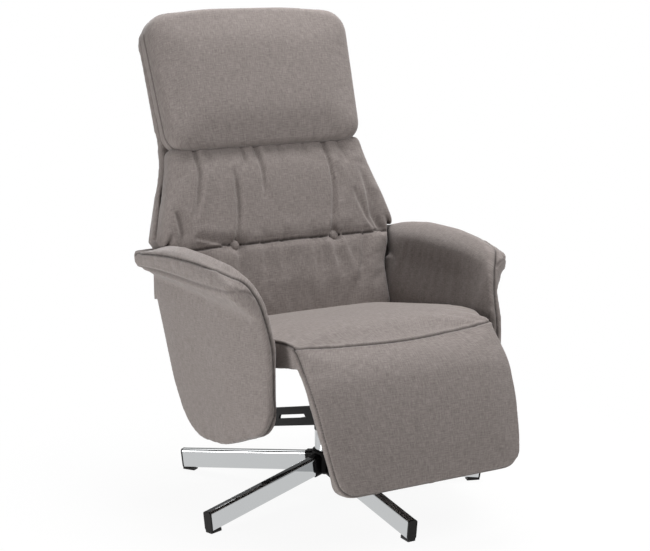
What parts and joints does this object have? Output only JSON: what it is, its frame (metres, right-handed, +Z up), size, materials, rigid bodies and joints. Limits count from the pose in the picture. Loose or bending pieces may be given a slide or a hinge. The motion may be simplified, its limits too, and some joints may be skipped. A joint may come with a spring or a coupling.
{
  "type": "swivel recliner",
  "caption": "Upholstered swivel recliner with flared arms, winged back, headrest and a footrest that lifts as the back goes down, on a chrome star base.",
  "frame": {"origin": "on the floor, under the swivel axis", "axes": "+Z up along the swivel axis, the chair faces -Y, the sitter's left is +X"},
  "size_m": [0.728, 0.898, 1.0985],
  "materials": {
    "linen_fabric": "taupe woven linen look",
    "polished_chrome": "polished plating",
    "black_plastic": "moulded, fine grain",
    "black_steel": "satin powder coat",
    "zinc_steel": "bright zinc",
    "plywood": "raw birch plywood"
  },
  "bodies": {
    "base": {"column": "polished_chrome", "column_set_screw": "zinc_steel", "hub": "black_steel", "hub_plug": "black_plastic", "leg_end_cap_1": "black_plastic", "leg_end_cap_2": "black_plastic", "leg_end_cap_3": "black_plastic", "leg_end_cap_4": "black_plastic", "leg_end_cap_5": "black_plastic", "leg_tube_1": "polished_chrome", "leg_tube_2": "polished_chrome", "leg_tube_3": "polished_chrome", "leg_tube_4": "polished_chrome", "leg_tube_5": "polished_chrome", "lower_bush": "black_plastic", "upper_bush": "black_plastic"},
    "seat_unit": {"arm_bolts": "zinc_steel", "arm_spacers": "zinc_steel", "back_pivot_pins": "zinc_steel", "footrest_pivot_pins": "zinc_steel", "left_arm_pad": "linen_fabric", "left_arm_panel": "linen_fabric", "left_back_lug": "black_steel", "left_footrest_lug": "black_steel", "left_seat_rail": "plywood", "left_side_frame": "black_steel", "right_arm_pad": "linen_fabric", "right_arm_panel": "linen_fabric", "right_back_lug": "black_steel", "right_footrest_lug": "black_steel", "right_seat_rail": "plywood", "right_side_frame": "black_steel", "seat_board": "plywood", "seat_cushion": "linen_fabric", "spindle": "zinc_steel", "swivel_collar": "black_steel", "swivel_plate": "black_steel"},
    "back": {"back_board": "plywood", "back_buttons": "linen_fabric", "back_rod_pins": "zinc_steel", "back_shell": "linen_fabric", "headrest_pad": "linen_fabric", "left_back_arm": "black_steel", "lower_back_cushion": "linen_fabric", "right_back_arm": "black_steel", "upper_back_cushion": "linen_fabric"},
    "footrest": {"footrest_board": "plywood", "footrest_pad": "linen_fabric", "footrest_rod_pins": "zinc_steel", "left_footrest_arm": "black_steel", "right_footrest_arm": "black_steel"},
    "left_rod": {"left_push_rod": "black_steel"},
    "right_rod": {"right_push_rod": "black_steel"}
  },
  "joints": [
    {"name": "seat_swivel", "type": "hinge", "parent": "base", "child": "seat_unit", "pos_m": [0, 0, 0.153], "axis": [0, 0, 1], "continuous": true},
    {"name": "back_recline", "type": "hinge", "parent": "seat_unit", "child": "back", "pos_m": [0, 0.205, 0.372], "axis": [-1, 0, 0], "range_deg": [0, 40]},
    {"name": "footrest_lift", "type": "hinge", "parent": "seat_unit", "child": "footrest", "pos_m": [0, -0.296, 0.424], "axis": [-1, 0, 0], "range_deg": [0, 60]},
    {"name": "left_rod_pivot", "type": "hinge", "parent": "back", "child": "left_rod", "pos_m": [0, 0.21717, 0.31325], "axis": [-1, 0, 0], "range_deg": [-40, 0]},
    {"name": "right_rod_pivot", "type": "hinge", "parent": "back", "child": "right_rod", "pos_m": [0, 0.21717, 0.31325], "axis": [-1, 0, 0], "range_deg": [-40, 0]}
  ],
  "couplings": [
    {"joint": "footrest_lift", "follows": "back_recline", "ratio": 1.5},
    {"joint": "left_rod_pivot", "follows": "back_recline", "ratio": -1},
    {"joint": "right_rod_pivot", "follows": "back_recline", "ratio": -1}
  ]
}
